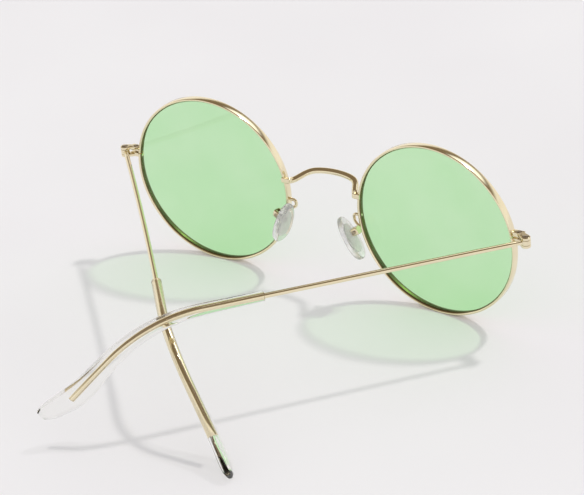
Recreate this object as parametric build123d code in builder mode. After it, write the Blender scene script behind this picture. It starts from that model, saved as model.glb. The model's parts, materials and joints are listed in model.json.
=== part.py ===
from build123d import *
from math import cos, radians, sin, sqrt
import os

# Round wire-rim sunglasses, standing on both rims and on the left temple tip, with both temples part folded.
# Millimetres. +X is the wearer's left, +Y runs back towards the wearer, +Z is up. Everything is laid out in the
# front's own frame (origin midway between the lens centres) and then leaned back onto the table by `stance`.

# ---- stance: how the front's own frame stands on the table
lean_angle = -0.19  # nose-down lean that puts both rims and the left tip on the table
table_drop = 25.955  # height of the front's origin above the table
centre_depth = 48.05  # from the lens plane back to the middle of the overall box

# ---- front
lens_spacing = 75.7
wrap_angle = 2.5
aperture_radius = 25.0
rim_radius = 25.95
rim_depth = 2.4
rim_rounding = 0.3
lens_edge_radius = 25.35
lens_thickness = 1.5
lens_curve_radius = 265.0
groove_play = 0.05
rim_slit = 0.3
solder_reach = 0.3  # how far past the rim's faces its outline is cut from what is soldered on

# ---- bridge: a wire arch in a plane that slopes forward and up
bridge_height = 4.5
bridge_slope = 14.5
bridge_wire = (0.75, 0.95)  # half thickness across and along the arch's plane
# half of the arch's corner points, across and forward in its plane, and the rounding at each corner
bridge_span = [(12.6, 0.4), (10.4, -0.6), (8.3, -5.0), (5.6, -6.7)]
bridge_bends = [1.8, 3.5, 6.0]

# ---- closing block and hinge, per side
hinge_x = 67.9
hinge_y = 2.5
hinge_z = 4.35
barrel_radius = 1.3
hinge_half_height = 1.55
knuckle_play = 0.05
middle_knuckle_height = 1.4
block_end_x = 66.5
block_front_y = -0.1
block_back_y = 1.8
block_slot = 0.6
block_rounding = 0.3
block_lap = 1.0  # how far the block reaches in over the rim
knuckle_root = 1.6  # how far the knuckle runs back along the block
screw_radius = 0.6
screw_head_radius = 0.9
screw_head_height = 0.5
screw_head_seat = 0.4
screw_head_play = 0.05
hinge_bore_play = 0.05
lock_screw_x = 64.95
lock_screw_radius = 0.45
lock_head_radius = 0.75
lock_head_depth = 0.45
slot_width = 0.25
slot_depth = 0.25
slot_angle = 35

# ---- temples
wire_radius = 0.72
neck_radius = 0.62
neck_start = 0.8
wire_start = 3.0
spigot_radius = 0.45
spigot_length = 1.1
straight_length = 89.7
bend_radius = 40.0
bend_angle = 41.3
core_length = 133.2  # hinge axis to the buried end of the wire, along the wire
sleeve_half_thickness = 1.4
# distance along the wire, and how far the sleeve stands above and below the wire's centre there
sleeve_profile = [(73.0, 1.4, 1.4), (81.0, 1.45, 1.6), (89.0, 1.5, 1.9), (96.0, 1.6, 2.2), (103.0, 1.8, 2.5),
                  (110.0, 2.0, 2.7), (117.0, 2.2, 3.0), (127.0, 2.7, 3.9)]
# how much further out the left sleeve sits on its wire than the right one
sleeve_slip = {"left": 3.6, "right": 0.0}
# top and bottom of the paddle beyond that, along and below the straight run's end, and its half thickness
paddle_profile = [((40.6, -17.2), (34.4, -22.0), 1.4), ((44.2, -19.2), (39.4, -23.9), 1.35),
                  ((46.1, -20.6), (42.9, -24.6), 1.1), ((46.8, -21.8), (45.2, -24.2), 0.6)]

# fold, downward pitch, inward roll of the bend and outward bow at 100 mm, for each temple
temple_pose = {"left": (44.2, 2.5, 23.9, 2.29), "right": (41.2, -0.4, 4.5, 0.27)}

# ---- nose pads
pad_centre = (11.5, 3.6, -6.7)
pad_splay = {1: 20.0, -1: 30.0}  # each pad rests at its own rock
pad_turn = 12.0
pad_half_length = 6.8
pad_half_width = 3.4
pad_thickness = 2.6
pad_rounding = 1.1
insert_half_length = 4.4
insert_half_width = 2.0
insert_thickness = 0.7
tab_size = (1.7, 0.9)  # along the pad and across it
tab_rounding = 0.2
tab_reach = 3.0
pivot_up = 1.3
pivot_out = 2.35
box_size = (2.3, 2.5, 1.7)  # along the pad, across it, and deep
box_rounding = 0.25
box_slot = 1.06
box_floor = 0.45
pad_screw_radius = 0.35
pad_screw_head = 0.62
pad_screw_head_height = 0.35
pad_screw_slot = (0.2, 0.3)
pad_screw_play = 0.04
arm_radius = 0.45
# the arm's corner points from the rim on, across, back from the rim's middle and up, and the rounding at each
arm_route = [(12.9, 0.0, -1.4), (9.9, 0.0, -1.6), (9.9, 0.0, -3.6), (13.3, 2.5, -4.0)]
arm_bends = [0.8, 0.9, 0.8]

SIDES = (("left", 1), ("right", -1))
hinge_top = hinge_z + hinge_half_height
block_middle_y = (block_front_y + block_back_y) / 2
stance = Location((0, -centre_depth, table_drop), (-lean_angle, 0, 0))


def standing(origin, x_dir, z_dir):
    """A plane given in the front's own frame, as it stands on the table."""
    return Plane(stance * Plane(origin=origin, x_dir=x_dir, z_dir=z_dir).location)


def level(height, x=0.0, y=0.0):
    """A horizontal plane of the front's own frame."""
    return standing((x, y, height), (1, 0, 0), (0, 0, 1))


def point(x, y, z):
    """A point of the front's own frame, as it stands on the table."""
    return (stance * Location((x, y, z))).position


def save(piece, label):
    piece.part.label = label
    export_step(piece.part, f"parts/{label}.step")


# ---------------------------------------------------------------- rims and lenses
def lens_centre(s):
    return (s * lens_spacing / 2, 0, 0)


def outboard(s):
    return Vector(s * cos(radians(wrap_angle)), sin(radians(wrap_angle)), 0)


def backward(s):
    return Vector(-s * sin(radians(wrap_angle)), cos(radians(wrap_angle)), 0)


def lens_section_plane(s):
    """Sketch x is the radius from the lens axis, sketch y runs back along the axis."""
    return standing(lens_centre(s), outboard(s), (0, 0, s))


def lens_axis(s):
    plane = lens_section_plane(s)
    return Axis(plane.origin, plane.y_dir)


def make_rim(s):
    with BuildPart() as rim:
        with BuildSketch(lens_section_plane(s)) as section:
            with Locations(((aperture_radius + rim_radius) / 2, 0)):
                Rectangle(rim_radius - aperture_radius, rim_depth)
            fillet(section.vertices().group_by(Axis(lens_section_plane(s).origin, lens_section_plane(s).x_dir))[-1],
                   rim_rounding)
            with Locations((aperture_radius, 0)):
                Rectangle(2 * (lens_edge_radius + groove_play - aperture_radius),
                          lens_thickness + 2 * groove_play, mode=Mode.SUBTRACT)
        revolve(axis=lens_axis(s))
        with Locations(level(hinge_z, s * (lens_spacing / 2 + aperture_radius)).location):
            Box(3 * rim_depth, 3 * rim_depth, rim_slit, mode=Mode.SUBTRACT)
    return rim


def make_lens(s):
    edge_sag = lens_curve_radius - sqrt(lens_curve_radius**2 - lens_edge_radius**2)
    middle = lens_edge_radius / 2
    middle_sag = lens_curve_radius - sqrt(lens_curve_radius**2 - middle**2)
    front = -lens_thickness / 2 - edge_sag
    back = lens_thickness / 2 - edge_sag
    with BuildPart() as lens:
        with BuildSketch(lens_section_plane(s)):
            with BuildLine():
                ThreePointArc((0, front), (middle, front + middle_sag), (lens_edge_radius, -lens_thickness / 2))
                Line((lens_edge_radius, -lens_thickness / 2), (lens_edge_radius, lens_thickness / 2))
                ThreePointArc((lens_edge_radius, lens_thickness / 2), (middle, back + middle_sag), (0, back))
                Line((0, back), (0, front))
            make_face()
        revolve(axis=lens_axis(s))
    return lens


def rim_surface(s):
    """A cylinder that fills the rim's outline, for shaping what is soldered to it."""
    plane = lens_section_plane(s)
    face_on = Plane(origin=plane.origin, x_dir=plane.x_dir, z_dir=plane.y_dir)
    with BuildPart(mode=Mode.PRIVATE) as plug:
        with BuildSketch(face_on):
            Circle(rim_radius)
        extrude(amount=rim_depth / 2 + solder_reach, both=True)
    return plug.part


# ---------------------------------------------------------------- bridge
def make_bridge():
    rise = radians(bridge_slope)
    foot_y = -sin(radians(wrap_angle)) * rim_radius
    arch = standing((0, foot_y, bridge_height), (1, 0, 0), (0, sin(rise), cos(rise)))
    outline = bridge_span + [(-x, y) for x, y in reversed(bridge_span)]
    with BuildPart() as bridge:
        with BuildLine(arch) as path:
            FilletPolyline(*outline, radius=bridge_bends + bridge_bends[::-1])
        with BuildSketch(Plane(origin=path.line @ 0, x_dir=arch.z_dir, z_dir=path.line % 0)):
            Ellipse(*bridge_wire)
        sweep(path=path.line)
        for _, s in SIDES:
            add(rim_surface(s), mode=Mode.SUBTRACT)
    return bridge


# ---------------------------------------------------------------- closing blocks and hinge
def make_block(s, upper):
    """Half of the closing block: a body on the rim's cut end, and the outer knuckle of the hinge."""
    sign = 1 if upper else -1
    knuckle_inner = middle_knuckle_height / 2 + knuckle_play
    inner_x = lens_spacing / 2 + aperture_radius - block_lap
    block_depth = block_back_y - block_front_y
    with BuildPart() as block:
        with BuildSketch(level(hinge_z + sign * block_slot / 2)):
            with Locations((s * (inner_x + block_end_x) / 2, block_middle_y)):
                RectangleRounded(block_end_x - inner_x, block_depth, block_rounding)
        extrude(amount=sign * (hinge_half_height - block_slot / 2))
        with BuildSketch(level(hinge_z + sign * knuckle_inner)):
            with Locations((s * (block_end_x - knuckle_root / 2), block_middle_y)):
                Rectangle(knuckle_root, block_depth)
            with Locations((s * hinge_x, hinge_y)):
                Circle(barrel_radius)
            make_hull()
        extrude(amount=sign * (hinge_half_height - knuckle_inner))
        add(rim_surface(s), mode=Mode.SUBTRACT)
        bore = screw_radius + (hinge_bore_play if upper else 0)
        with Locations(level(hinge_z, s * hinge_x, hinge_y).location):
            Cylinder(bore, 3 * hinge_half_height, mode=Mode.SUBTRACT)
        with Locations(level(hinge_z, s * lock_screw_x, block_middle_y).location):
            Cylinder(lock_screw_radius, 3 * hinge_half_height, mode=Mode.SUBTRACT)
        if upper:
            with BuildSketch(level(hinge_top, s * lock_screw_x, block_middle_y)):
                Circle(lock_head_radius)
            extrude(amount=-lock_head_depth, mode=Mode.SUBTRACT)
            with BuildSketch(level(hinge_top, s * hinge_x, hinge_y)):
                Circle(screw_head_radius + screw_head_play)
            extrude(amount=-screw_head_seat, mode=Mode.SUBTRACT)
    return block


def make_screw(s, x, y, radius, head_radius, head_bottom, head_height):
    """A slotted cheese-head screw, down through the closing block."""
    bottom = hinge_z - hinge_half_height
    with BuildPart() as screw:
        with BuildSketch(level(bottom, s * x, y)):
            Circle(radius)
        extrude(amount=head_bottom - bottom)
        with BuildSketch(level(head_bottom, s * x, y)):
            Circle(head_radius)
        extrude(amount=head_height)
        with Locations(level(head_bottom + head_height, s * x, y).location):
            Box(3 * head_radius, slot_width, 2 * slot_depth, rotation=(0, 0, slot_angle), mode=Mode.SUBTRACT)
    return screw


# ---------------------------------------------------------------- temples
def temple_vectors(side, s):
    """The temple's forward run, its down direction and its inward direction, in the front's own frame."""
    fold, pitch, roll, _ = temple_pose[side]
    flat = Vector(-s * sin(radians(fold)), cos(radians(fold)), 0)
    along = flat * cos(radians(pitch)) - Vector(0, 0, 1) * sin(radians(pitch))
    down = flat * -sin(radians(pitch)) - Vector(0, 0, 1) * cos(radians(pitch))
    inward = along.cross(down) * s
    rolled = down * cos(radians(roll)) + inward * sin(radians(roll))
    return along, rolled, inward


def run_plane(side, s):
    """Sketch x runs along the temple from the hinge axis, sketch y points inward."""
    along, _, inward = temple_vectors(side, s)
    return standing((s * hinge_x, hinge_y, hinge_z), along, along.cross(inward))


def bow_at(side, distance):
    return -temple_pose[side][3] * (distance / 100) ** 2


def tail_plane(side, s):
    """Sketch x continues the temple's straight run, sketch y points up across its bend."""
    along, rolled, inward = temple_vectors(side, s)
    slope = 2 * bow_at(side, straight_length) / straight_length
    heading = (along + inward * slope).normalized()
    start = Vector(s * hinge_x, hinge_y, hinge_z) + along * straight_length + inward * bow_at(side, straight_length)
    return standing(start, heading, heading.cross(rolled * -1))


def wire_point(distance):
    """A point of the wire in its tail plane, at a distance from the hinge axis along the wire."""
    past = distance - straight_length
    turn = radians(bend_angle)
    if past < 0:
        return past, 0.0, 0.0
    if past < bend_radius * turn:
        angle = past / bend_radius
        return bend_radius * sin(angle), -bend_radius * (1 - cos(angle)), angle
    rest = past - bend_radius * turn
    return (bend_radius * sin(turn) + rest * cos(turn),
            -bend_radius * (1 - cos(turn)) - rest * sin(turn), turn)


def beside_wire(distance, offset):
    """A point of the tail plane at a distance along the wire and an offset above it."""
    x, y, angle = wire_point(distance)
    return x + offset * sin(angle), y + offset * cos(angle)


def wire_path(side, s):
    """The wire's centre line: a barely bowed run, the bend behind the ear and the buried straight end."""
    bow = [(d, bow_at(side, d)) for d in (wire_start, straight_length / 2, straight_length)]
    with BuildLine(run_plane(side, s)) as run:
        ThreePointArc(*bow)
    with BuildLine(tail_plane(side, s)) as tail:
        bend = JernArc((0, 0), (1, 0), bend_radius, -bend_angle)
        Line(bend @ 1, wire_point(core_length)[:2])
    return run.line, tail.line


def make_wire(side, s):
    run, tail = wire_path(side, s)
    with BuildPart() as wire:
        for path in (run, tail):
            with BuildSketch(Plane(origin=path @ 0, z_dir=path % 0)):
                Circle(wire_radius)
            sweep(path=path)
        with BuildSketch(Plane(origin=run @ 0, z_dir=(run % 0) * -1)):
            Circle(spigot_radius)
        extrude(amount=spigot_length)
    return wire


def make_leaf(side, s):
    """The temple's half of the hinge: the middle knuckle with a neck that the wire is brazed into."""
    along, _, _ = temple_vectors(side, s)
    hinge = Vector(s * hinge_x, hinge_y, hinge_z)
    neck = standing(hinge + along * neck_start, (0, 0, 1), along)
    run, _ = wire_path(side, s)
    with BuildPart() as leaf:
        with BuildSketch(level(hinge_z - middle_knuckle_height / 2, s * hinge_x, hinge_y)):
            Circle(barrel_radius)
        extrude(amount=middle_knuckle_height)
        with BuildSketch(neck):
            Circle(neck_radius)
        extrude(amount=wire_start - neck_start)
        with Locations(level(hinge_z, s * hinge_x, hinge_y).location):
            Cylinder(screw_radius + hinge_bore_play, 3 * middle_knuckle_height, mode=Mode.SUBTRACT)
        with BuildSketch(Plane(origin=run @ 0, z_dir=(run % 0) * -1)):
            Circle(spigot_radius)
        extrude(amount=spigot_length, mode=Mode.SUBTRACT)
        with BuildSketch(Plane(origin=run @ 0, z_dir=run % 0)):
            Circle(2 * wire_radius)
        extrude(amount=1, mode=Mode.SUBTRACT)
    return leaf


def sleeve_sections(side):
    """Top point, bottom point and half thickness of each oval section, in the tail plane."""
    slip = sleeve_slip[side]
    slid = Vector(slip * cos(radians(bend_angle)), -slip * sin(radians(bend_angle)))
    gripping = [(beside_wire(d + slip, up), beside_wire(d + slip, -low), sleeve_half_thickness)
                for d, up, low in sleeve_profile]
    paddle = [(Vector(*top) + slid, Vector(*bottom) + slid, half) for top, bottom, half in paddle_profile]
    return [(Vector(*top), Vector(*bottom), half) for top, bottom, half in gripping] + paddle


def make_tip(side, s, wire):
    """The clear sleeve: round where it grips the wire, spreading into a flat paddle behind the ear."""
    tail = tail_plane(side, s)
    with BuildPart() as tip:
        for top, bottom, half_thickness in sleeve_sections(side):
            high, low = tail.from_local_coords(top), tail.from_local_coords(bottom)
            across = high - low
            with BuildSketch(Plane(origin=(high + low) / 2, x_dir=across, z_dir=across.cross(tail.z_dir))):
                Ellipse(across.length / 2, half_thickness)
        loft(ruled=True)
        add(wire.part, mode=Mode.SUBTRACT)
    return tip


# ---------------------------------------------------------------- nose pads
def pad_plane(s):
    """Origin at the pad's middle; sketch x runs up the pad, the normal faces the nose."""
    splay, turn = radians(pad_splay[s]), radians(pad_turn)
    up = Vector(-s * sin(splay), 0, cos(splay))
    face = Vector(-s * cos(splay), 0, -sin(splay)) * cos(turn) + Vector(0, 1, 0) * sin(turn)
    return standing((s * pad_centre[0], pad_centre[1], pad_centre[2]), up, face)


def pad_offset(s, up, across, out):
    """A plane parallel to the pad's, shifted up the pad, across it and out towards the nose."""
    return Plane(pad_plane(s).location * Location((up, across, out)))


def across_plane(s, start):
    """A plane across the pad screw's axis, facing back, at a distance back from the pivot."""
    base = pad_offset(s, pivot_up, s * start, -pivot_out)
    return Plane(origin=base.origin, x_dir=base.x_dir, z_dir=base.y_dir * s)


def make_insert(s):
    """The stiff core of the pad, with the tab that the pad screw passes through."""
    with BuildPart() as core:
        with BuildSketch(pad_offset(s, 0, 0, -insert_thickness / 2)):
            Ellipse(insert_half_length, insert_half_width)
        extrude(amount=insert_thickness)
        with BuildSketch(pad_offset(s, pivot_up, 0, -insert_thickness / 2)):
            RectangleRounded(*tab_size, tab_rounding)
        extrude(amount=-(tab_reach - insert_thickness / 2))
        with BuildSketch(across_plane(s, -2 * tab_size[1])):
            Circle(pad_screw_radius + pad_screw_play)
        extrude(amount=4 * tab_size[1], mode=Mode.SUBTRACT)
    return core


def make_pad(s, core):
    """The soft silicone pad, moulded round its core."""
    with BuildPart() as pad:
        with BuildSketch(pad_offset(s, 0, 0, -pad_thickness / 2)):
            Ellipse(pad_half_length, pad_half_width)
        extrude(amount=pad_thickness)
        fillet(pad.edges().filter_by(GeomType.ELLIPSE), pad_rounding)
        add(core.part, mode=Mode.SUBTRACT)
    return pad


def make_box(s):
    """The little open box on the end of the pad arm that takes the pad's tab."""
    along, across, deep = box_size
    with BuildPart() as box:
        with BuildSketch(pad_offset(s, pivot_up, 0, -pivot_out + deep / 2)):
            RectangleRounded(along, across, box_rounding)
        extrude(amount=-deep - box_floor)
        with BuildSketch(pad_offset(s, pivot_up, 0, -pivot_out + deep / 2)):
            Rectangle(2 * along, box_slot)
        extrude(amount=-deep, mode=Mode.SUBTRACT)
        with BuildSketch(across_plane(s, -across)):
            Circle(pad_screw_radius)
        extrude(amount=2 * across, mode=Mode.SUBTRACT)
    return box


def make_pad_screw(s):
    across = box_size[1]
    with BuildPart() as screw:
        with BuildSketch(across_plane(s, -across / 2)):
            Circle(pad_screw_radius)
        extrude(amount=across)
        with BuildSketch(across_plane(s, across / 2)):
            Circle(pad_screw_head)
        extrude(amount=pad_screw_head_height)
        with Locations(across_plane(s, across / 2 + pad_screw_head_height).location):
            Box(3 * pad_screw_head, *pad_screw_slot, mode=Mode.SUBTRACT)
    return screw


def make_arm(s):
    """The bent wire that carries the pad box, soldered to the rim beside the bridge."""
    along, across, deep = box_size
    foot_y = -sin(radians(wrap_angle)) * rim_radius
    seat = pad_offset(s, pivot_up, 0, -pivot_out - deep / 2).origin
    route = [point(s * x, foot_y + y, z) for x, y, z in arm_route] + [seat]
    with BuildPart() as arm:
        with BuildLine() as path:
            FilletPolyline(*route, radius=arm_bends)
        with BuildSketch(Plane(origin=path.line @ 0, z_dir=path.line % 0)):
            Circle(arm_radius)
        sweep(path=path.line)
        add(rim_surface(s), mode=Mode.SUBTRACT)
        with BuildSketch(pad_offset(s, pivot_up, 0, -pivot_out + deep / 2)):
            Rectangle(along, across)
        extrude(amount=-deep - box_floor, mode=Mode.SUBTRACT)
    return arm


# ---------------------------------------------------------------- make and write every piece
os.makedirs("parts", exist_ok=True)
save(make_bridge(), "bridge")
for side, s in SIDES:
    save(make_rim(s), f"{side}_rim")
    save(make_lens(s), f"{side}_lens")
    save(make_block(s, True), f"{side}_closing_block_upper")
    save(make_block(s, False), f"{side}_closing_block_lower")
    save(make_screw(s, lock_screw_x, block_middle_y, lock_screw_radius, lock_head_radius,
                    hinge_top - lock_head_depth, lock_head_depth), f"{side}_closing_screw")
    save(make_screw(s, hinge_x, hinge_y, screw_radius, screw_head_radius,
                    hinge_top - screw_head_seat, screw_head_height), f"{side}_hinge_screw")
    wire = make_wire(side, s)
    save(wire, f"{side}_temple_wire")
    save(make_leaf(side, s), f"{side}_temple_knuckle")
    save(make_tip(side, s, wire), f"{side}_temple_tip")
    core = make_insert(s)
    save(core, f"{side}_pad_insert")
    save(make_pad(s, core), f"{side}_nose_pad")
    save(make_box(s), f"{side}_pad_box")
    save(make_pad_screw(s), f"{side}_pad_screw")
    save(make_arm(s), f"{side}_pad_arm")
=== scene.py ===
import json
from math import asin, atan2, cos, pi, radians, sin, sqrt

import bmesh
import bpy
from mathutils import Matrix, Vector


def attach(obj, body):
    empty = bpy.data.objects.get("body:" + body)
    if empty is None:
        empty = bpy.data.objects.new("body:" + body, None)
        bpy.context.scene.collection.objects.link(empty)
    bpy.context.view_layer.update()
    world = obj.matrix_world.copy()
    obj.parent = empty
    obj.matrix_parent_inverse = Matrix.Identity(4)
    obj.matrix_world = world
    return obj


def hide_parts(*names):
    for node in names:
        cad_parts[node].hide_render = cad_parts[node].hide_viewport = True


# Round wire-rim sunglasses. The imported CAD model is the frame: this script gives every part its finished
# shape and material. Shapes are laid out in millimetres in the front's own frame, as the CAD source does:
# origin midway between the lens centres, x to the wearer's left, y back towards the wearer, z up.

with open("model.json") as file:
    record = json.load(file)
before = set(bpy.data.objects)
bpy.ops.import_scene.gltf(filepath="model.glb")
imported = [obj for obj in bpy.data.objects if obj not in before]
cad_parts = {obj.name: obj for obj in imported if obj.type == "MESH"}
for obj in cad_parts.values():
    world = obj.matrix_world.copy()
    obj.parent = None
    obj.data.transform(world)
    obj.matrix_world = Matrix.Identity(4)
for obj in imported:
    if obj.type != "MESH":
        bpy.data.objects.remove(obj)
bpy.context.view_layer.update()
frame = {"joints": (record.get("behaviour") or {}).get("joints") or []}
SIDES = (("left", 1), ("right", -1))
MM = 0.001

# ---- driving dimensions in millimetres: the CAD source's values, except those marked as this script's own
HINGE = Vector((67.9, 2.5, 4.35))
LENS_CENTRE_X = 37.85
WRAP = radians(2.5)
RIM_INNER, RIM_OUTER, RIM_DEPTH, RIM_SLIT = 25.0, 25.95, 2.4, 0.3
LENS_CURVE = 265.0
LENS_EDGE, LENS_THICKNESS = 25.32, 1.2  # own: a little smaller and thinner than the CAD lens
LENS_FRONT_RADIUS, LENS_BACK_RADIUS = 25.2, 24.94  # own: where the bevel starts on either face
BRIDGE_HEIGHT, BRIDGE_SLOPE, BRIDGE_HALF_SIZES = 4.5, radians(14.5), (0.95, 0.75)
# own: points of half the arch, across and back in its sloping plane, and its foremost point
BRIDGE_SPAN = [(12.5, 0.3), (11.3, -0.1), (10.3, -0.9), (9.4, -2.5), (8.4, -4.3), (7.0, -5.7), (5.0, -6.5),
               (2.6, -6.95)]
BRIDGE_CROWN = (0, -7.1)
TAB_HEIGHT, TAB_PROUD, TAB_HALF_SIZES = 5.0, 0.16, (0.32, 0.8)  # own: the bridge's solder tabs
HINGE_HALF_HEIGHT, MIDDLE_KNUCKLE, KNUCKLE_GAP = 1.55, 1.4, 0.05
HINGE_TOP, HINGE_FOOT = HINGE.z + HINGE_HALF_HEIGHT, HINGE.z - HINGE_HALF_HEIGHT
BARREL, BLOCK_END, BLOCK_FRONT, BLOCK_BACK, BLOCK_SLOT = 1.3, 66.5, -0.1, 1.8, 0.6
BLOCK_MIDDLE, BLOCK_CORNER, KNUCKLE_ROOT = (BLOCK_FRONT + BLOCK_BACK) / 2, 0.3, 1.6
HINGE_SCREW, HINGE_HEAD, HINGE_HEAD_SEAT, SCREW_PLAY = 0.6, 0.9, 0.4, 0.05
HINGE_HEAD_PROUD, HEAD_CROWN = 0.05, 0.05  # own: together the CAD hinge screw's 0.1 above the block
CLOSING_SCREW_X, CLOSING_SCREW, CLOSING_HEAD, CLOSING_HEAD_SEAT = 64.95, 0.45, 0.75, 0.45
SLOT_TILT = radians(35)
SLOT_HALF_WIDTH, SLOT_DEPTH = 0.13, 0.24  # own: within 0.01 of the CAD's
WIRE, WIRE_START, STRAIGHT, BEND_RADIUS, BEND_ANGLE, CORE_END = 0.72, 3.0, 89.7, 40.0, radians(41.3), 133.2
NECK, NECK_START = 0.62, 0.8
TEMPLE_POSE = {"left": (44.2, 2.5, 23.9, 2.29), "right": (41.2, -0.4, 4.5, 0.27)}  # fold, pitch, roll, bow
# the sleeve: distance along the wire, then its reach above and below the wire
SLEEVE = [(73.0, 1.4, 1.4), (81.0, 1.45, 1.6), (89.0, 1.5, 1.9), (96.0, 1.6, 2.2), (103.0, 1.8, 2.5),
          (110.0, 2.0, 2.7), (117.0, 2.2, 3.0), (127.0, 2.7, 3.9)]
SLEEVE_HALF_THICKNESS = 1.4
SLEEVE_SLIP = {"left": 3.6, "right": 0.0}  # how much further out the left sleeve sits on its wire
# the paddle's top and bottom, forward and down from the bend's start, and its half thickness
PADDLE = [((40.6, 17.2), (34.4, 22.0), 1.4), ((44.2, 19.2), (39.4, 23.9), 1.35),
          ((46.1, 20.6), (42.9, 24.6), 1.1), ((46.8, 21.8), (45.2, 24.2), 0.6)]
PAD_CENTRE, PAD_SPLAY, PAD_TURN = Vector((11.5, 3.6, -6.7)), {1: radians(20), -1: radians(30)}, radians(12)
PAD_HALF_SIZES, INSERT_HALF_SIZES = (6.8, 3.4, 1.3), (4.4, 2.0, 0.35)
PIVOT_UP, PIVOT_OUT = 1.3, 2.35
PAD_SCREW, PAD_SCREW_HEAD, BOX_HALF_DEPTH, BOX_SLOT = 0.35, 0.62, 0.85, 1.06
BOX_MOUTH, BOX_LENGTH = 0.70, 1.88  # own: pivot to the open end, and the length, before its ends are rounded
# own: the CAD's route starts at 12.9 across
ARM_ROUTE = [(12.5, 0.0, -1.4), (9.9, 0.0, -1.6), (9.9, 0.0, -3.6), (13.3, 2.5, -4.0)]
ARM_BENDS, ARM = [0.8, 0.9, 0.8], 0.45

# ---------------------------------------------------------------- the front's own frame
joints = {joint["name"]: joint for joint in frame["joints"]}
hinges = [Vector(joints[f"{side}_temple_fold"]["pos_m"]) for side, _ in SIDES]
up_axis = Vector(joints["left_temple_fold"]["axis"]).normalized()
lean = Matrix.Rotation(-atan2(up_axis.y, up_axis.z), 3, "X")
front_middle = (hinges[0] + hinges[1]) / 2 - lean @ (Vector((0, HINGE.y, HINGE.z)) * MM)


def placed(point):
    """A point of the front's own frame, in millimetres, as it stands in the row frame."""
    return front_middle + lean @ (Vector(point) * MM)


# ---------------------------------------------------------------- mesh helpers
def raw(name, points, faces):
    """A plain object from points in the front's own frame."""
    mesh = bpy.data.meshes.new(name)
    mesh.from_pydata([placed(p) for p in points], [], faces)
    work = bmesh.new()
    work.from_mesh(mesh)
    bmesh.ops.remove_doubles(work, verts=work.verts, dist=0.0002 * MM)
    bmesh.ops.recalc_face_normals(work, faces=work.faces)
    work.to_mesh(mesh)
    work.free()
    thing = bpy.data.objects.new(name, mesh)
    bpy.context.scene.collection.objects.link(thing)
    return thing


def combine(target, tool, operation="DIFFERENCE"):
    """Cuts the tool out of the target, or joins it on, and throws the tool away."""
    step = target.modifiers.new("combine", "BOOLEAN")
    step.operation = operation
    step.object = tool
    step.solver = "EXACT"
    graph = bpy.context.evaluated_depsgraph_get()
    mesh = bpy.data.meshes.new_from_object(target.evaluated_get(graph))
    target.modifiers.clear()
    target.data = mesh
    bpy.data.objects.remove(tool)
    return target


def finished(thing, node, body, material, sharp=40):
    """Shades the object, gives it its material, and lets it stand for its CAD node."""
    thing.data.shade_smooth()
    thing.data.set_sharp_from_angle(angle=radians(sharp))
    thing.data.materials.clear()
    thing.data.materials.append(material)
    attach(thing, body)
    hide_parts(node)
    return thing


def loop_faces(rings, count, closed_path=False):
    """Quads between successive rings of count points each."""
    spans = rings if closed_path else rings - 1
    faces = []
    for i in range(spans):
        j = (i + 1) % rings
        for k in range(count):
            n = (k + 1) % count
            faces.append((i * count + k, i * count + n, j * count + n, j * count + k))
    return faces


def lathe(name, profile, centre, out, up, back, start=0.0, sweep=2 * pi, steps=192):
    """Turns a closed profile of (radius, distance back) about an axis. An unfinished turn gets flat ends."""
    whole = abs(sweep - 2 * pi) < 1e-6
    rings = steps if whole else steps + 1
    points = []
    for i in range(rings):
        angle = start + sweep * i / steps
        spoke = out * cos(angle) + up * sin(angle)
        points += [centre + spoke * r + back * w for r, w in profile]
    faces = loop_faces(rings, len(profile), closed_path=whole)
    return raw(name, points, faces if whole else closed_ends(faces, rings, len(profile)))


def oval(count, power):
    """Points round a unit oval: an ellipse at power 2, squarer above it."""
    def stretch(value):
        return abs(value) ** (2 / power) * (1 if value >= 0 else -1)
    turns = [2 * pi * k / count for k in range(count)]
    return [(stretch(cos(a)), stretch(sin(a))) for a in turns]


def closed_ends(faces, rings, count):
    """The faces of a skin of rings, with its first and last rings capped."""
    return faces + [tuple(range(count)), tuple(reversed(range((rings - 1) * count, rings * count)))]


def tube(name, path, sizes, normal, count=32, power=2.0, round_ends=True):
    """A bar along a path of points. sizes gives half its height and half its width along the normal."""
    axes = []
    n = Vector(normal)
    for i, p in enumerate(path):
        tangent = (path[min(i + 1, len(path) - 1)] - path[max(i - 1, 0)]).normalized()
        n = (n - tangent * n.dot(tangent)).normalized()
        axes.append((tangent, n, n.cross(tangent)))
    stations = [(p, axes[i], sizes[i]) for i, p in enumerate(path)]
    if round_ends:
        stations = dome(stations[0], -1)[::-1] + stations + dome(stations[-1], 1)
    points = [p + side * (height * u) + n * (width * v)
              for p, (_, n, side), (height, width) in stations for u, v in oval(count, power)]
    return raw(name, points, closed_ends(loop_faces(len(stations), count), len(stations), count))


def dome(station, sign, depth=0.12, steps=4):
    """A small rounding at a bar's end."""
    p, axis, (height, width) = station
    out = []
    for i in range(1, steps + 1):
        a = (pi / 2) * i / steps
        out.append((p + axis[0] * (sign * depth * sin(a)), axis,
                    (height - depth * (1 - cos(a)), width - depth * (1 - cos(a)))))
    return out


def slab(name, outline, low, high, bevel=0.12, steps=3):
    """An upright prism over a convex outline in the front's own frame, with rounded top and bottom edges."""
    centre = sum((Vector(p) for p in outline), Vector((0, 0))) / len(outline)
    inset = []
    for i, p in enumerate(outline):
        before, after = Vector(outline[i - 1]), Vector(outline[(i + 1) % len(outline)])
        along = (after - before).normalized()
        across = Vector((-along.y, along.x))
        inset.append(across if across.dot(centre - Vector(p)) > 0 else -across)
    rows = [(low + bevel - bevel * sin(a), bevel - bevel * cos(a)) for a in
            [(pi / 2) * (steps - i) / steps for i in range(steps + 1)]]
    rows += [(high + low - z, shift) for z, shift in reversed(rows)]
    points = []
    for z, shift in rows:
        points += [Vector((*(Vector(p) + inset[i] * shift), z)) for i, p in enumerate(outline)]
    return raw(name, points, closed_ends(loop_faces(len(rows), len(outline)), len(rows), len(outline)))


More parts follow.
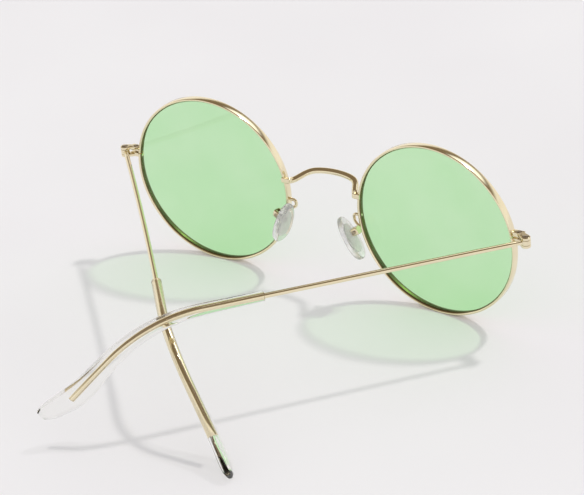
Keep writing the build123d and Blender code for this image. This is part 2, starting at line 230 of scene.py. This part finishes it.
def catmull(values, steps):
    """Smooth in-between values of a list of vectors."""
    result = []
    for i in range(len(values) - 1):
        before = values[max(i - 1, 0)]
        a, b = values[i], values[i + 1]
        after = values[min(i + 2, len(values) - 1)]
        for k in range(steps):
            t = k / steps
            result.append(0.5 * (2 * a + (b - before) * t + (2 * before - 5 * a + 4 * b - after) * t * t
                                 + (3 * a - before - 3 * b + after) * t ** 3))
    result.append(values[-1])
    return result


def rounded(points, radii, steps=8):
    """A polyline whose inner corners are rounded to the given radii."""
    path = [points[0]]
    for i in range(1, len(points) - 1):
        a = (points[i - 1] - points[i]).normalized()
        b = (points[i + 1] - points[i]).normalized()
        half = a.angle(b) / 2
        reach = radii[i - 1] / (sin(half) / cos(half))
        middle = points[i] + (a + b).normalized() * (radii[i - 1] / sin(half))
        start, end = points[i] + a * reach - middle, points[i] + b * reach - middle
        for k in range(steps + 1):
            path.append(middle + start.slerp(end, k / steps) * radii[i - 1])
    path.append(points[-1])
    return path


def spread(path, gap):
    """The same path with extra points, no further apart than gap."""
    result = []
    for a, b in zip(path, path[1:]):
        pieces = max(1, int((b - a).length / gap))
        result += [a.lerp(b, k / pieces) for k in range(pieces)]
    return result + [path[-1]]


# ---------------------------------------------------------------- materials
def material(name):
    made = bpy.data.materials.new(name)
    made.use_nodes = True
    tree = made.node_tree
    tree.nodes.clear()
    return made, tree


def node(tree, kind, inputs=None, **settings):
    made = tree.nodes.new(kind)
    for key, value in settings.items():
        setattr(made, key, value)
    for key, value in (inputs or {}).items():
        if isinstance(value, bpy.types.NodeSocket):
            tree.links.new(value, made.inputs[key])
        else:
            made.inputs[key].default_value = value
    return made


def object_noise(tree, size, detail=3.0, roughness=0.55, stretch=None):
    """A noise whose grains are size metres across."""
    place = node(tree, "ShaderNodeTexCoord").outputs["Object"]
    if stretch:
        place = node(tree, "ShaderNodeMapping", {"Vector": place, "Scale": stretch}).outputs["Vector"]
    return node(tree, "ShaderNodeTexNoise", {"Vector": place, "Scale": 1 / size, "Detail": detail,
                                             "Roughness": roughness}).outputs["Fac"]


def ramp(tree, value, stops):
    made = node(tree, "ShaderNodeValToRGB", {"Fac": value})
    elements = made.color_ramp.elements
    while len(elements) < len(stops):
        elements.new(0.5)
    for element, (place, colour) in zip(elements, stops):
        element.position = place
        element.color = (*colour, 1)
    return made.outputs["Color"]


def scaled(tree, value, low, high):
    return node(tree, "ShaderNodeMapRange", {"Value": value, "To Min": low, "To Max": high}).outputs["Result"]


def bump(tree, height, strength, distance):
    return node(tree, "ShaderNodeBump", {"Height": height, "Strength": strength,
                                         "Distance": distance}).outputs["Normal"]


def gold_material(name, colours, rough_low, rough_high):
    """Polished plating: slight tone drift, fine handling marks and the faint waviness of plated wire."""
    made, tree = material(name)
    tone = ramp(tree, object_noise(tree, 6 * MM, 2), colours)
    haze = scaled(tree, object_noise(tree, 1.1 * MM, 5, 0.7), rough_low, rough_high)
    fine = object_noise(tree, 0.12 * MM, 2)
    shader = node(tree, "ShaderNodeBsdfPrincipled", {"Base Color": tone, "Metallic": 1.0, "Roughness": haze,
                                                     "Normal": bump(tree, fine, 0.12, 0.01 * MM)})
    node(tree, "ShaderNodeOutputMaterial", {"Surface": shader.outputs["BSDF"]})
    return made


def screw_material():
    """Turned steel with a warm, slightly tarnished tone."""
    made, tree = material("screw_steel")
    tone = ramp(tree, object_noise(tree, 0.5 * MM, 4), [(0.3, (0.30, 0.24, 0.16)), (0.7, (0.60, 0.52, 0.40))])
    haze = scaled(tree, object_noise(tree, 0.25 * MM, 4), 0.22, 0.42)
    turned = object_noise(tree, 0.08 * MM, 3, 0.6, stretch=(1, 1, 6))
    shader = node(tree, "ShaderNodeBsdfPrincipled", {"Base Color": tone, "Metallic": 1.0, "Roughness": haze,
                                                     "Normal": bump(tree, turned, 0.3, 0.01 * MM)})
    node(tree, "ShaderNodeOutputMaterial", {"Surface": shader.outputs["BSDF"]})
    return made


def lens_material():
    """Light green tinted lens: clear to look through, with a polished surface and a faint green sheen."""
    made, tree = material("lens_green")
    tone = ramp(tree, object_noise(tree, 14 * MM, 1),
                [(0.3, (0.755, 0.945, 0.725)), (0.7, (0.785, 0.955, 0.755))])
    through = node(tree, "ShaderNodeBsdfTransparent", {"Color": tone})
    haze = scaled(tree, object_noise(tree, 2.5 * MM, 4), 0.02, 0.05)
    wave = bump(tree, object_noise(tree, 18 * MM, 1), 0.05, 0.05 * MM)
    gloss = node(tree, "ShaderNodeBsdfGlossy", {"Color": (0.86, 1.0, 0.88, 1), "Roughness": haze,
                                                "Normal": wave})
    share = node(tree, "ShaderNodeFresnel", {"IOR": 1.5, "Normal": wave}).outputs["Fac"]
    inside = node(tree, "ShaderNodeNewGeometry").outputs["Backfacing"]
    outer = node(tree, "ShaderNodeMath", {0: 1.0, 1: inside}, operation="SUBTRACT").outputs["Value"]
    outer_share = node(tree, "ShaderNodeMath", {0: share, 1: outer}, operation="MULTIPLY").outputs["Value"]
    mixed = node(tree, "ShaderNodeMixShader", {0: outer_share, 1: through.outputs["BSDF"],
                                               2: gloss.outputs["BSDF"]})
    node(tree, "ShaderNodeOutputMaterial", {"Surface": mixed.outputs["Shader"]})
    return made


def clear_material(name, tint, shadow_tint, rough_low, rough_high, ior, cloud, wave_size, wave_depth,
                   clarity):
    """Water-clear plastic. Its shadow lets most of the light through."""
    made, tree = material(name)
    tone = ramp(tree, object_noise(tree, cloud, 3), [(0.3, tint[0]), (0.7, tint[1])])
    haze = scaled(tree, object_noise(tree, 0.9 * MM, 4), rough_low, rough_high)
    wave = bump(tree, object_noise(tree, wave_size, 2), 0.25, wave_depth)
    glass = node(tree, "ShaderNodeBsdfPrincipled", {"Base Color": tone, "Roughness": haze, "IOR": ior,
                                                    "Transmission Weight": clarity, "Normal": wave})
    light = node(tree, "ShaderNodeBsdfTransparent", {"Color": shadow_tint})
    path = node(tree, "ShaderNodeLightPath")
    lit = node(tree, "ShaderNodeMath", {0: path.outputs["Is Shadow Ray"], 1: path.outputs["Is Diffuse Ray"]},
               operation="MAXIMUM").outputs["Value"]
    mixed = node(tree, "ShaderNodeMixShader", {0: lit, 1: glass.outputs["BSDF"], 2: light.outputs["BSDF"]})
    node(tree, "ShaderNodeOutputMaterial", {"Surface": mixed.outputs["Shader"]})
    return made


def core_material():
    """The pad's moulded core: milky, slightly see-through plastic."""
    made, tree = material("pad_core")
    tone = ramp(tree, object_noise(tree, 1.5 * MM, 3), [(0.3, (0.95, 0.94, 0.91)), (0.7, (0.98, 0.98, 0.96))])
    haze = scaled(tree, object_noise(tree, 0.4 * MM, 3), 0.3, 0.45)
    grain = bump(tree, object_noise(tree, 0.2 * MM, 2), 0.2, 0.02 * MM)
    shader = node(tree, "ShaderNodeBsdfPrincipled", {"Base Color": tone, "Roughness": haze, "Normal": grain,
                                                     "Transmission Weight": 0.75, "IOR": 1.42})
    node(tree, "ShaderNodeOutputMaterial", {"Surface": shader.outputs["BSDF"]})
    return made


GOLD = gold_material("gold_wire", [(0.3, (0.87, 0.77, 0.54)), (0.7, (0.91, 0.82, 0.60))], 0.10, 0.18)
# painted shade: a dark colour standing in for the shadow in the rim's groove between its lips and the lens
GROOVE_PAINTED_SHADE = gold_material("rim_groove_painted_shade", [(0.3, (0.16, 0.13, 0.06)), (0.7, (0.22, 0.18, 0.09))], 0.30, 0.45)
STEEL = screw_material()
GREEN = lens_material()
CLEAR = clear_material("clear_tip", ((0.97, 0.97, 0.955), (0.985, 0.985, 0.975)), (0.86, 0.86, 0.85, 1),
                       0.01, 0.03, 1.42, 8 * MM, 5 * MM, 0.01 * MM, 1.0)
SILICONE = clear_material("clear_silicone", ((0.93, 0.935, 0.93), (0.97, 0.97, 0.965)), (0.80, 0.80, 0.79, 1),
                          0.08, 0.16, 1.38, 2 * MM, 1.2 * MM, 0.02 * MM, 0.8)
CORE = core_material()


# ---------------------------------------------------------------- rims and lenses
def lens_frame(s):
    """The lens's centre and its outboard, upward and backward directions, in the front's own frame."""
    out = Vector((s * cos(WRAP), sin(WRAP), 0))
    back = Vector((-s * sin(WRAP), cos(WRAP), 0))
    return Vector((s * LENS_CENTRE_X, 0, 0)), out, Vector((0, 0, 1)), back


def arc(centre, radius, start, end, steps):
    """Points on an arc in a section plane, angles in degrees."""
    cx, cy = centre
    angles = [radians(start + (end - start) * i / steps) for i in range(steps + 1)]
    return [(cx + radius * cos(a), cy + radius * sin(a)) for a in angles]


def rim_profile():
    """The eyewire's section: crowned outside, with a sloping back lip, a groove and a flared front lip."""
    half, corner = RIM_DEPTH / 2, 0.34
    outside = arc((RIM_OUTER - corner, -half + corner), corner, -90, -12, 6)
    outside += arc((RIM_OUTER - corner, half - corner), corner, 12, 90, 6)
    back_lip = [(25.52, half), (25.42, 1.14), (25.26, 0.96), (25.06, 0.72), (RIM_INNER, 0.6),
                (RIM_INNER + 0.02, 0.52)]
    groove, front_lip = [(25.38, 0.3), (25.38, -0.3)], [(25.34, -0.5), (25.5, -1.12), (25.56, -half)]
    return outside + back_lip + groove + front_lip


def make_rim(side, s):
    centre, out, up, back = lens_frame(s)
    slit_at = asin(HINGE.z / RIM_OUTER)
    gap = RIM_SLIT / RIM_OUTER
    rim = lathe(f"{side}_rim_wire", rim_profile(), centre, out, up, back,
                slit_at + gap / 2, 2 * pi - gap, 288)
    finished(rim, f"{side}_rim", "front", GOLD, 50)
    paint_groove_shade(rim, centre, back)


def paint_groove_shade(rim, centre, back):
    """Gives the rim's inward faces a painted-shade material, a dark colour in place of the groove's shadow,
    all but the outermost slope of the back lip.
    """
    # painted shade: these faces get the dark colour in place of the shadow that falls in the groove
    rim.data.materials.append(GROOVE_PAINTED_SHADE)
    shaded_to, facing_in = 0.9 * MM, -0.2
    middle = placed(centre)
    axis = lean @ back
    for face in rim.data.polygons:
        spoke = face.center - middle
        depth = spoke.dot(axis)
        spoke -= axis * depth
        if face.normal.dot(spoke.normalized()) < facing_in and depth < shaded_to:
            face.material_index = 1


def make_lens(side, s):
    """A slightly domed disc with a bevelled edge that sits in the rim's groove."""
    centre, out, up, back = lens_frame(s)
    sag = LENS_CURVE - sqrt(LENS_CURVE ** 2 - LENS_EDGE ** 2)
    rings, half = 14, LENS_THICKNESS / 2

    def dome_at(r):
        return LENS_CURVE - sqrt(LENS_CURVE ** 2 - r ** 2) - sag

    front = [(r, dome_at(r) - half) for r in [LENS_FRONT_RADIUS * i / rings for i in range(rings + 1)]]
    rear = [(r, dome_at(r) + half) for r in [LENS_BACK_RADIUS * i / rings for i in range(rings, -1, -1)]]
    edge = [(LENS_EDGE, -0.28), (LENS_EDGE, 0.2)]
    lens = lathe(f"{side}_lens_disc", front + edge + rear, centre, out, up, back, steps=160)
    finished(lens, f"{side}_lens", "front", GREEN, 30)


# ---------------------------------------------------------------- bridge
def make_bridge():
    """A flattened wire arch, with a solder tab folded over the back of each rim."""
    foot_y = -sin(WRAP) * RIM_OUTER
    back = Vector((0, cos(BRIDGE_SLOPE), -sin(BRIDGE_SLOPE)))
    span = BRIDGE_SPAN + [BRIDGE_CROWN] + [(-x, y) for x, y in reversed(BRIDGE_SPAN)]
    path = catmull([Vector((x, foot_y, BRIDGE_HEIGHT)) + back * y for x, y in span], 6)
    normal = Vector((0, sin(BRIDGE_SLOPE), cos(BRIDGE_SLOPE)))
    bridge = tube("bridge_arch", path, [BRIDGE_HALF_SIZES] * len(path), normal, power=2.4, round_ends=False)
    tab_y = foot_y + RIM_DEPTH / 2 + TAB_PROUD
    for _, s in SIDES:
        route = ((10.6, foot_y - 0.2), (10.9, tab_y), (13.1, tab_y))
        corners = [Vector((s * x, y, TAB_HEIGHT)) for x, y in route]
        path = spread(rounded(corners, [0.5]), 0.4)
        combine(bridge, tube("tab", path, [TAB_HALF_SIZES] * len(path), (0, 0, 1), 24, 3.2), "UNION")
    finished(bridge, "bridge", "front", GOLD, 50)


# ---------------------------------------------------------------- closing blocks, knuckles and screws
def knuckle_outline(s):
    """The outline of a hinge knuckle: round about the pin and running straight into the block."""
    reach = HINGE.x - (BLOCK_END - KNUCKLE_ROOT)
    near = [(-reach, BLOCK_FRONT - HINGE.y), (-reach, BLOCK_BACK - HINGE.y)]
    far = [(BARREL * cos(a), BARREL * sin(a)) for a in [radians(118 - 172 * i / 20) for i in range(21)]]
    return [(s * (HINGE.x + x), HINGE.y + y) for x, y in near + far]


def circle(x, y, radius, count):
    """The outline of a round in plan."""
    turns = [2 * pi * i / count for i in range(count)]
    return [(x + radius * cos(a), y + radius * sin(a)) for a in turns]


def pin(name, s, x, y, radius, low, high):
    """An upright round bar, to cut a bore with."""
    return slab(name, circle(s * x, y, radius, 32), low, high, 0.02, 1)


def make_block(side, s, upper):
    """Half of the closing block, with its hinge knuckle and the bores for both screws."""
    sign, part = (1, "upper") if upper else (-1, "lower")
    inner, end, near, far = LENS_CENTRE_X + RIM_INNER + 0.1, BLOCK_END, BLOCK_FRONT, BLOCK_BACK
    corner = BLOCK_CORNER
    box = []
    for cx, cy, start in ((end - corner, far - corner, 0), (inner + corner, far - corner, 90),
                          (inner + corner, near + corner, 180), (end - corner, near + corner, 270)):
        box += [(s * x, y) for x, y in arc((cx, cy), corner, start, start + 90, 4)]
    inside, outside = sorted((HINGE.z + sign * BLOCK_SLOT / 2, HINGE.z + sign * HINGE_HALF_HEIGHT))
    block = slab(f"{side}_block_{part}", box, inside, outside)
    knuckle_low, knuckle_high = sorted((HINGE.z + sign * (MIDDLE_KNUCKLE / 2 + KNUCKLE_GAP),
                                        HINGE.z + sign * HINGE_HALF_HEIGHT))
    combine(block, slab("knuckle", knuckle_outline(s), knuckle_low, knuckle_high), "UNION")
    low, high = HINGE.z - 4, HINGE.z + 4
    bores = [(HINGE.x, HINGE.y, HINGE_SCREW + (SCREW_PLAY if upper else 0), low),
             (CLOSING_SCREW_X, BLOCK_MIDDLE, CLOSING_SCREW, low)]
    if upper:
        bores += [(CLOSING_SCREW_X, BLOCK_MIDDLE, CLOSING_HEAD + 0.01, HINGE_TOP - CLOSING_HEAD_SEAT),
                  (HINGE.x, HINGE.y, HINGE_HEAD + SCREW_PLAY, HINGE_TOP - HINGE_HEAD_SEAT)]
    for x, y, radius, foot in bores:
        combine(block, pin("bore", s, x, y, radius, foot, high))
    finished(block, f"{side}_closing_block_{part}", "front", GOLD)


def make_screw(side, s, label, x, y, radius, head, head_low, head_high):
    """A slotted cheese-head screw with a domed head and a lightly rounded end."""
    low, point, bevel, edge = HINGE_FOOT, 0.08, 0.05, 0.14
    profile = [(0, low), (radius - point, low), (radius, low + point), (radius, head_low)]
    profile += [(head - bevel, head_low), (head, head_low + bevel), (head, head_high - edge)]
    profile += [(head - edge * (1 - cos(a)), head_high - edge + edge * sin(a)) for a in (0.5, 1.0, pi / 2)]
    profile += [(0, head_high + HEAD_CROWN)]
    centre = Vector((s * x, y, 0))
    screw = lathe(f"{side}_{label}_turned", profile, centre,
                  Vector((1, 0, 0)), Vector((0, 1, 0)), Vector((0, 0, 1)), steps=48)
    along = Vector((cos(SLOT_TILT), sin(SLOT_TILT), 0)) * (2 * head)
    across = Vector((-sin(SLOT_TILT), cos(SLOT_TILT), 0)) * SLOT_HALF_WIDTH
    outline = [centre + along * a + across * b for a, b in ((1, 1), (-1, 1), (-1, -1), (1, -1))]
    slot = slab("slot", [(p.x, p.y) for p in outline], head_high - SLOT_DEPTH, head_high + 1, 0.01, 1)
    combine(screw, slot)
    finished(screw, f"{side}_{label}", "front", STEEL, 30)


# ---------------------------------------------------------------- temples
def temple_axes(side, s):
    """The temple's straight run, the direction its bend drops in, and its inward direction."""
    fold, pitch, roll, _ = (radians(v) for v in TEMPLE_POSE[side])
    flat = Vector((-s * sin(fold), cos(fold), 0))
    along = flat * cos(pitch) - Vector((0, 0, 1)) * sin(pitch)
    down = flat * -sin(pitch) - Vector((0, 0, 1)) * cos(pitch)
    inward = along.cross(down) * s
    return along, down * cos(roll) + inward * sin(roll), inward


def hinge_point(s):
    return Vector((s * HINGE.x, HINGE.y, HINGE.z))


def tail_axes(side, s):
    """Origin of the bend, its forward and downward directions and its normal."""
    along, drop, inward = temple_axes(side, s)
    bow = TEMPLE_POSE[side][3]
    slope = -2 * bow * STRAIGHT / 100 ** 2
    start = hinge_point(s) + along * STRAIGHT - inward * (bow * (STRAIGHT / 100) ** 2)
    forward = (along + inward * slope).normalized()
    drop = (drop - forward * drop.dot(forward)).normalized()
    return start, forward, drop, forward.cross(drop)


def tail_point(distance):
    """(forward, down, heading) of the wire beyond the straight run, by distance from the hinge along it."""
    past = distance - STRAIGHT
    if past <= 0:
        return past, 0.0, 0.0
    if past <= BEND_RADIUS * BEND_ANGLE:
        a = past / BEND_RADIUS
        return BEND_RADIUS * sin(a), BEND_RADIUS * (1 - cos(a)), a
    rest = past - BEND_RADIUS * BEND_ANGLE
    return (BEND_RADIUS * sin(BEND_ANGLE) + rest * cos(BEND_ANGLE),
            BEND_RADIUS * (1 - cos(BEND_ANGLE)) + rest * sin(BEND_ANGLE), BEND_ANGLE)


def beside_wire(distance, offset):
    """(forward, down) at an offset above the wire."""
    x, y, a = tail_point(distance)
    return Vector((x + offset * sin(a), y - offset * cos(a)))


def wire_path(side, s):
    along, _, inward = temple_axes(side, s)
    bow = TEMPLE_POSE[side][3]
    path = []
    for i in range(41):
        d = WIRE_START + (STRAIGHT - WIRE_START) * i / 41
        path.append(hinge_point(s) + along * d - inward * (bow * (d / 100) ** 2))
    start, forward, drop, _ = tail_axes(side, s)
    for i in range(33):
        x, y, _ = tail_point(STRAIGHT + (CORE_END - STRAIGHT) * i / 32)
        path.append(start + forward * x + drop * y)
    return path


def make_wire(side, s):
    """The temple wire, which runs on as the core of the tip and is pressed flatter near its end."""
    path = wire_path(side, s)
    pressed_from, pressed_over = 58, 14  # points of the path
    shares = [min(max((i - pressed_from) / pressed_over, 0), 1) for i in range(len(path))]
    sizes = [(WIRE + 0.16 * share, WIRE - 0.1 * share) for share in shares]
    wire = tube(f"{side}_wire_drawn", path, sizes, temple_axes(side, s)[2], 32)
    finished(wire, f"{side}_temple_wire", f"{side}_temple", GOLD, 60)


def make_knuckle(side, s):
    """The middle knuckle and the neck that the wire is brazed into."""
    along, _, inward = temple_axes(side, s)
    low, high = HINGE.z - MIDDLE_KNUCKLE / 2, HINGE.z + MIDDLE_KNUCKLE / 2
    ring = circle(s * HINGE.x, HINGE.y, BARREL, 40)
    knuckle = slab(f"{side}_knuckle_turned", ring, low, high, 0.1)
    path = [hinge_point(s) + along * (NECK_START + (WIRE_START - 0.7) * i / 8) for i in range(9)]
    combine(knuckle, tube("neck", path, [(NECK, NECK)] * 9, inward, 32, round_ends=False), "UNION")
    combine(knuckle, pin("bore", s, HINGE.x, HINGE.y, HINGE_SCREW + SCREW_PLAY, low - 1, high + 1))
    finished(knuckle, f"{side}_temple_knuckle", f"{side}_temple", GOLD)


def make_tip(side, s):
    """The clear sleeve: round at its mouth, spreading into a flat paddle with a soft edge."""
    start, forward, drop, normal = tail_axes(side, s)
    slip = SLEEVE_SLIP[side]
    slid = Vector((slip * cos(BEND_ANGLE), slip * sin(BEND_ANGLE)))
    rows = [Vector((*beside_wire(d + slip, up), *beside_wire(d + slip, -low), SLEEVE_HALF_THICKNESS))
            for d, up, low in SLEEVE]
    rows += [Vector((*(Vector(top) + slid), *(Vector(bottom) + slid), half)) for top, bottom, half in PADDLE]
    stations = catmull(rows, 8)
    points, count = [], 40
    for i, row in enumerate(stations):
        top = start + forward * row[0] + drop * row[1]
        bottom = start + forward * row[2] + drop * row[3]
        middle, half_height = (top + bottom) / 2, (top - bottom) / 2
        power = 2.0 + 0.6 * min(i / (0.6 * len(stations)), 1)
        points += [middle + half_height * u + normal * (row[4] * v) for u, v in oval(count, power)]
    faces = closed_ends(loop_faces(len(stations), count), len(stations), count)
    tip = raw(f"{side}_tip_moulded", points, faces)
    finished(tip, f"{side}_temple_tip", f"{side}_temple", CLEAR, 50)


# ---------------------------------------------------------------- nose pads
def pad_axes(s):
    """The pad's middle, its upward direction, the way it faces and its direction across."""
    splay = PAD_SPLAY[s]
    up = Vector((-s * sin(splay), 0, cos(splay)))
    face = Vector((-s * cos(splay), 0, -sin(splay))) * cos(PAD_TURN) + Vector((0, 1, 0)) * sin(PAD_TURN)
    return Vector((s * PAD_CENTRE.x, PAD_CENTRE.y, PAD_CENTRE.z)), up, face, face.cross(up)


def button(name, middle, axes, half_sizes, power, rise, count=48, rings=12):
    """A smooth flattened pebble: an oval outline with a full, soft-edged section."""
    up, face, across = axes
    long, wide, thick = half_sizes
    points = [middle + face * thick]
    for j in range(1, 2 * rings):
        lift = cos(pi * j / (2 * rings))
        reach = sin(pi * j / (2 * rings)) ** (2 / rise)
        height = abs(lift) ** (2 / rise) * (1 if lift >= 0 else -1)
        points += [middle + up * (long * reach * u) + across * (wide * reach * v * (1 - 0.14 * u))
                   + face * (thick * height) for u, v in oval(count, power)]
    points.append(middle - face * thick)
    faces = [(0, 1 + (k + 1) % count, 1 + k) for k in range(count)]
    faces += [tuple(v + 1 for v in quad) for quad in loop_faces(2 * rings - 1, count)]
    last = len(points) - 1
    faces += [(last, last - count + k, last - count + (k + 1) % count) for k in range(count)]
    return raw(name, points, faces)


def make_pad(side, s):
    middle, up, face, across = pad_axes(s)
    pad = button(f"{side}_pad_moulded", middle, (up, face, across), PAD_HALF_SIZES, 2.2, 3.0)
    finished(pad, f"{side}_nose_pad", f"{side}_pad", SILICONE, 60)


def make_insert(side, s):
    """The core inside the pad: an oval plate with its tab towards the box."""
    middle, up, face, across = pad_axes(s)
    core = button(f"{side}_core_moulded", middle, (up, face, across), INSERT_HALF_SIZES, 2.4, 4.0, 40, 6)
    root = middle + up * PIVOT_UP
    path = [root - face * d for d in (0.1, 0.6, 1.1, 1.7, 2.3, 2.7)]
    combine(core, tube("tab", path, [(0.85, 0.45)] * len(path), across, 24, 3.5), "UNION")
    finished(core, f"{side}_pad_insert", f"{side}_pad", CORE)


def make_box(side, s):
    """The box on the arm's end: two cheeks and a floor round the pad's tab."""
    middle, up, face, across = pad_axes(s)
    seat = middle + up * PIVOT_UP - face * PIVOT_OUT
    path = [seat + face * (BOX_MOUTH - BOX_LENGTH * i / 4) for i in range(5)]
    box = tube(f"{side}_box_pressed", path, [(1.15, 1.25)] * 5, across, 32, 4.0)
    gap = [seat + face * 2 - face * (2.85 * i / 2) for i in range(3)]
    combine(box, tube("gap", gap, [(3, BOX_SLOT / 2)] * 3, across, 16, 12.0, False))
    finished(box, f"{side}_pad_box", "front", GOLD)


def make_pad_screw(side, s):
    middle, up, face, across = pad_axes(s)
    seat = middle + up * PIVOT_UP - face * PIVOT_OUT
    shank, head = PAD_SCREW, PAD_SCREW_HEAD
    profile = [(0, -1.3), (shank - 0.04, -1.3), (shank, -1.24), (shank, 1.25), (head - 0.04, 1.25)]
    profile += [(head, 1.3), (head, 1.5), (head - 0.07, 1.58), (head - 0.22, 1.62), (0, 1.64)]
    screw = lathe(f"{side}_pad_screw_turned", profile, seat, up, face, across * s, steps=36)
    finished(screw, f"{side}_pad_screw", "front", STEEL, 30)


def make_arm(side, s):
    """The bent wire from the rim to the pad's box."""
    middle, up, face, _ = pad_axes(s)
    foot_y = -sin(WRAP) * RIM_OUTER
    seat = middle + up * PIVOT_UP - face * (PIVOT_OUT + BOX_HALF_DEPTH)
    across = face.cross(up) * s
    corners = [Vector((s * x, foot_y + y, z)) for x, y, z in ARM_ROUTE] + [seat - across * 0.9]
    path = spread(rounded(corners, ARM_BENDS), 0.4)
    arm = tube(f"{side}_arm_bent", path, [(ARM, ARM)] * len(path), (0, 1, 0), 24)
    finished(arm, f"{side}_pad_arm", "front", GOLD, 60)


make_bridge()
for side, s in SIDES:
    make_rim(side, s)
    make_lens(side, s)
    make_block(side, s, True)
    make_block(side, s, False)
    make_screw(side, s, "closing_screw", CLOSING_SCREW_X, BLOCK_MIDDLE, CLOSING_SCREW, CLOSING_HEAD,
               HINGE_TOP - CLOSING_HEAD_SEAT, HINGE_TOP)
    make_screw(side, s, "hinge_screw", HINGE.x, HINGE.y, HINGE_SCREW, HINGE_HEAD,
               HINGE_TOP - HINGE_HEAD_SEAT, HINGE_TOP + HINGE_HEAD_PROUD)
    make_wire(side, s)
    make_knuckle(side, s)
    make_tip(side, s)
    make_pad(side, s)
    make_insert(side, s)
    make_box(side, s)
    make_pad_screw(side, s)
    make_arm(side, s)


# ---------------------------------------------------------------- floor, light and camera
SUN_HEADING = Vector((0.22, 0.51, -0.83)).normalized()


def make_floor():
    """A plain pale table top with a faint paper-like tooth."""
    made, tree = material("floor")
    tone = ramp(tree, object_noise(tree, 0.12, 2), [(0.3, (0.84, 0.82, 0.83)), (0.7, (0.87, 0.855, 0.86))])
    tooth = bump(tree, object_noise(tree, 0.8 * MM, 3), 0.1, 0.02 * MM)
    shader = node(tree, "ShaderNodeBsdfPrincipled", {"Base Color": tone, "Roughness": 0.7, "Normal": tooth})
    node(tree, "ShaderNodeOutputMaterial", {"Surface": shader.outputs["BSDF"]})
    mesh = bpy.data.meshes.new("floor")
    reach = 3.0
    corners = [(-reach, -reach, 0), (reach, -reach, 0), (reach, reach, 0), (-reach, reach, 0)]
    mesh.from_pydata(corners, [], [(0, 1, 2, 3)])
    mesh.materials.append(made)
    floor = bpy.data.objects.new("floor", mesh)
    bpy.context.scene.collection.objects.link(floor)


def make_world():
    """A pale studio. In mirror reflections it has a warm dark ceiling with one bright window in it."""
    world = bpy.data.worlds.new("studio")
    world.use_nodes = True
    tree = world.node_tree
    tree.nodes.clear()
    direction = node(tree, "ShaderNodeTexCoord").outputs["Generated"]
    height = node(tree, "ShaderNodeSeparateXYZ", {"Vector": direction}).outputs["Z"]
    room = ramp(tree, height, [(0.0, (1.0, 0.985, 0.96)), (0.38, (0.96, 0.93, 0.88)),
                               (0.52, (0.24, 0.18, 0.11)), (1.0, (0.20, 0.15, 0.10))])
    nearness = node(tree, "ShaderNodeVectorMath", {0: direction, 1: -SUN_HEADING}, operation="DOT_PRODUCT")
    window = ramp(tree, nearness.outputs["Value"], [(0.90, (0, 0, 0)), (0.96, (1.4, 1.38, 1.32))])
    seen = node(tree, "ShaderNodeVectorMath", {0: room, 1: window}, operation="MAXIMUM").outputs["Vector"]
    reflected = node(tree, "ShaderNodeBackground", {"Color": seen, "Strength": 1.0})
    dome_glow = node(tree, "ShaderNodeBackground", {"Color": (0.985, 0.985, 1.0, 1), "Strength": 0.80})
    path = node(tree, "ShaderNodeLightPath")
    depths = {0: path.outputs["Glossy Depth"], 1: path.outputs["Is Diffuse Ray"]}
    bounced = node(tree, "ShaderNodeMath", depths, operation="SUBTRACT", use_clamp=True).outputs["Value"]
    mixed = node(tree, "ShaderNodeMixShader", {0: bounced, 1: dome_glow.outputs["Background"],
                                               2: reflected.outputs["Background"]})
    node(tree, "ShaderNodeOutputWorld", {"Surface": mixed.outputs["Shader"]})
    bpy.context.scene.world = world


def make_sun():
    """The key light, from beyond the glasses and above."""
    data = bpy.data.lights.new("key", "SUN")
    data.energy = 0.9
    data.angle = radians(4)
    data.color = (1.0, 0.985, 0.96)
    sun = bpy.data.objects.new("key", data)
    sun.rotation_euler = SUN_HEADING.to_track_quat("-Z", "Y").to_euler()
    bpy.context.scene.collection.objects.link(sun)


def make_camera():
    data = bpy.data.cameras.new("camera")
    data.lens, data.sensor_width, data.clip_start = 159.7, 36, 0.05
    camera = bpy.data.objects.new("camera", data)
    view = (lean @ Vector((0.527, -0.704, -0.476))).normalized()
    right = view.cross(lean @ Vector((0.199, -0.441, 0.875))).normalized()
    turn = Matrix((right, right.cross(view), -view)).transposed().to_4x4()
    camera.matrix_world = Matrix.Translation(placed((-383, 528, 340))) @ turn
    bpy.context.scene.collection.objects.link(camera)
    bpy.context.scene.camera = camera


make_floor()
make_world()
make_sun()
make_camera()
bpy.context.scene.view_settings.view_transform = "Standard"
